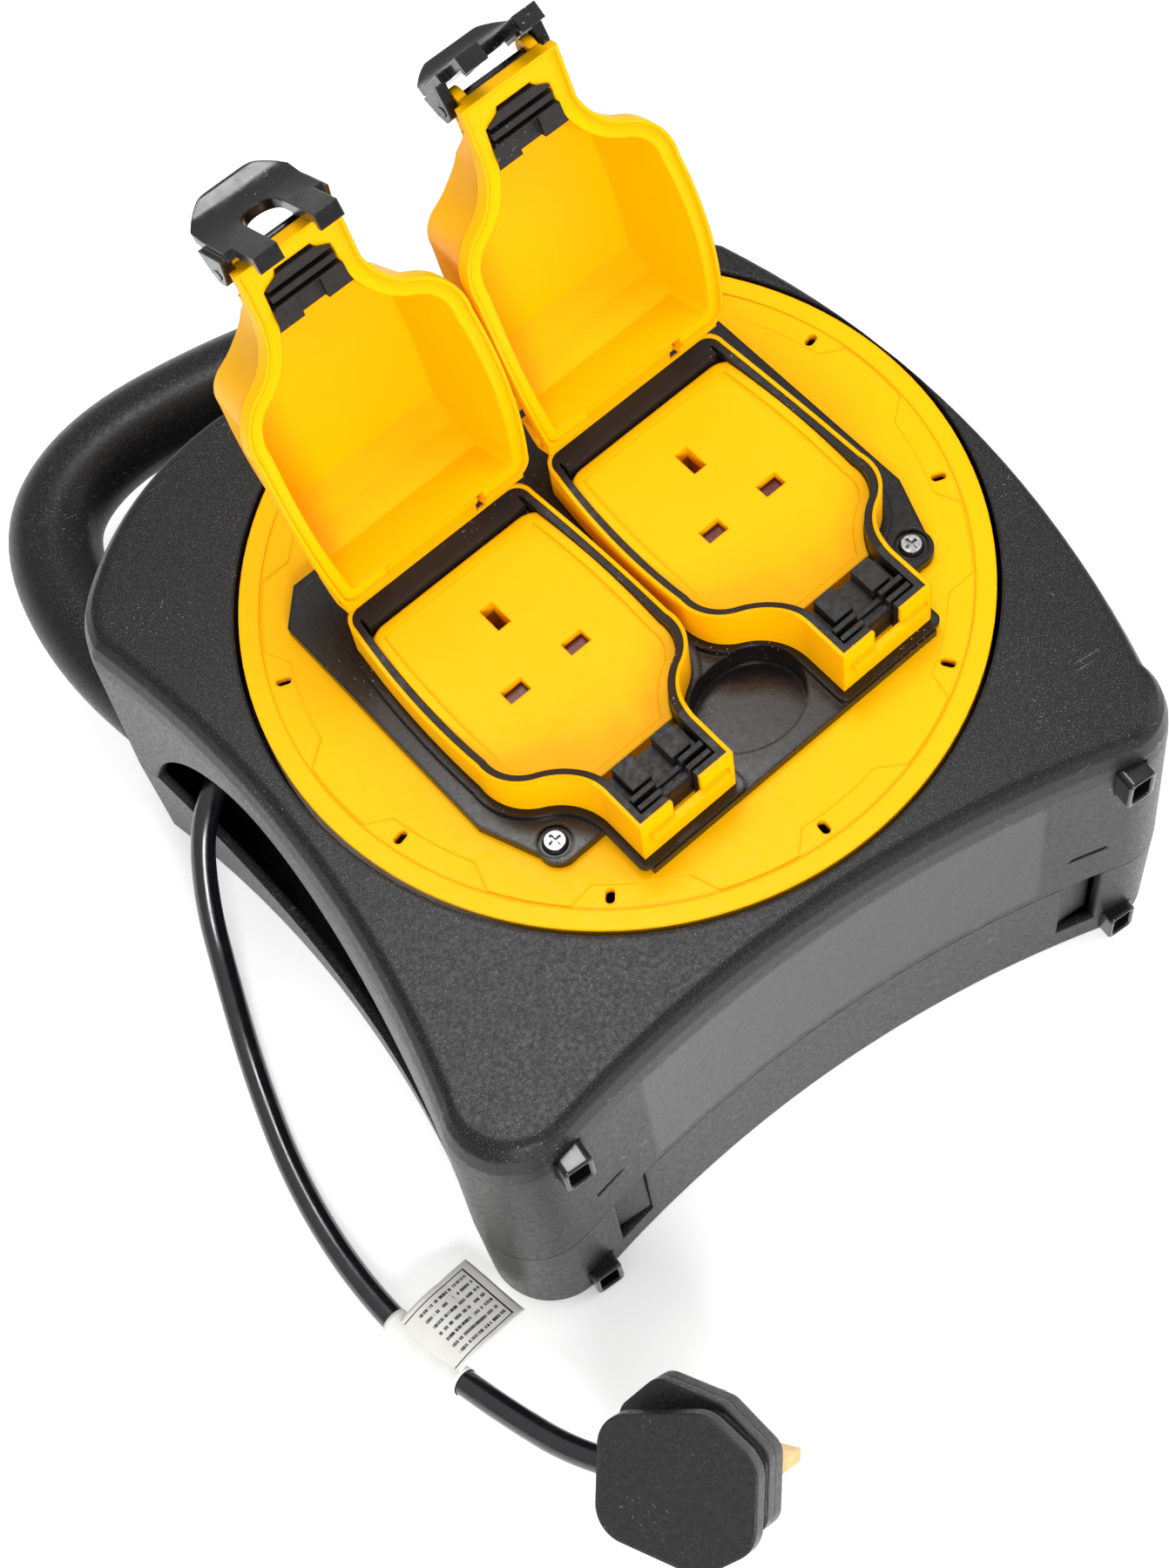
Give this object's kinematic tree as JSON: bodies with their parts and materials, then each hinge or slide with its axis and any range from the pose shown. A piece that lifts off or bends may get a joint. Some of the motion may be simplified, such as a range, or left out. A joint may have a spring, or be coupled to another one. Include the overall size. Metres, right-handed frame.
{
  "type": "extension cord reel",
  "caption": "Enclosed extension cord reel with a turning drum, covered sockets under latched lids, a carry handle and a free cord with its plug.",
  "frame": {"origin": "on the drum's axis, at the flat back face that the reel lies on", "axes": "+Z along the drum's axis, out of its front; +Y towards the carry handle; -X towards the cable slot"},
  "size_m": [0.289, 0.4251, 0.2768],
  "materials": {
    "black_case": "spark-eroded",
    "gloss_black": "gloss",
    "yellow_plastic": "satin",
    "panel_plastic": "satin",
    "seal_rubber": "matte",
    "cord_sheath": "satin",
    "plug_black": "grained",
    "label_white": "matt film",
    "brass": "rolled",
    "zinc_steel": "zinc plated",
    "shutter_red": "satin"
  },
  "bodies": {
    "case": {"front_shell": "black_case", "back_shell": "black_case", "carry_handle": "black_case", "back_feet": "gloss_black", "front_feet": "gloss_black", "case_screws": "zinc_steel", "spindle_washer": "zinc_steel", "spindle_screw": "zinc_steel", "free_cord": "cord_sheath", "cord_label": "label_white", "plug_cover": "plug_black", "plug_base": "plug_black", "plug_pins": "brass", "plug_fuse": "brass"},
    "drum": {"cable_spool": "yellow_plastic", "wound_cable": "cord_sheath", "drum_front": "yellow_plastic", "socket_panel": "panel_plastic", "panel_screws": "zinc_steel", "bus_strips": "brass", "thermal_cutout": "panel_plastic", "socket_frame_1": "yellow_plastic", "gasket_1": "seal_rubber", "socket_face_1": "yellow_plastic", "contacts_1": "brass", "base_cord_seal_1": "seal_rubber", "socket_frame_2": "yellow_plastic", "gasket_2": "seal_rubber", "socket_face_2": "yellow_plastic", "contacts_2": "brass", "base_cord_seal_2": "seal_rubber"},
    "reset_button": {"reset_button": "shutter_red"},
    "lid_1": {"lid_1": "yellow_plastic", "lid_seal_1": "seal_rubber", "hinge_pin_1": "zinc_steel", "latch_pin_1": "gloss_black"},
    "latch_1": {"latch_1": "gloss_black"},
    "shutter_1": {"shutter_1": "shutter_red"},
    "lid_2": {"lid_2": "yellow_plastic", "lid_seal_2": "seal_rubber", "hinge_pin_2": "zinc_steel", "latch_pin_2": "gloss_black"},
    "latch_2": {"latch_2": "gloss_black"},
    "shutter_2": {"shutter_2": "shutter_red"}
  },
  "joints": [
    {"name": "drum_turn", "type": "hinge", "parent": "case", "child": "drum", "pos_m": [0, 0, 0], "axis": [0, 0, 1], "continuous": true},
    {"name": "lid_1_hinge", "type": "hinge", "parent": "drum", "child": "lid_1", "pos_m": [-0.04124, 0.03013, 0.1555], "axis": [-0.9923, -0.1236, 0], "range_deg": [-108.5, 0]},
    {"name": "latch_1_pivot", "type": "hinge", "parent": "lid_1", "child": "latch_1", "pos_m": [-0.04618, 0.06975, 0.25497], "axis": [-0.9923, -0.1236, 0], "range_deg": [-9, 59]},
    {"name": "shutter_1_slide", "type": "slide", "parent": "drum", "child": "shutter_1", "axis": [0.1236, -0.9923, 0], "range_m": [0, 0.0065], "stiffness_N_per_m": 60, "springref_m": -0.003},
    {"name": "lid_2_hinge", "type": "hinge", "parent": "drum", "child": "lid_2", "pos_m": [0.03259, 0.03933, 0.1555], "axis": [-0.9923, -0.1236, 0], "range_deg": [-108.5, 0]},
    {"name": "latch_2_pivot", "type": "hinge", "parent": "lid_2", "child": "latch_2", "pos_m": [0.02765, 0.07895, 0.25497], "axis": [-0.9923, -0.1236, 0], "range_deg": [-38, 30]},
    {"name": "shutter_2_slide", "type": "slide", "parent": "drum", "child": "shutter_2", "axis": [0.1236, -0.9923, 0], "range_m": [0, 0.0065], "stiffness_N_per_m": 60, "springref_m": -0.003},
    {"name": "reset_button_press", "type": "slide", "parent": "drum", "child": "reset_button", "axis": [0, 0, -1], "range_m": [0, 0.0025], "stiffness_N_per_m": 300, "springref_m": -0.002}
  ]
}
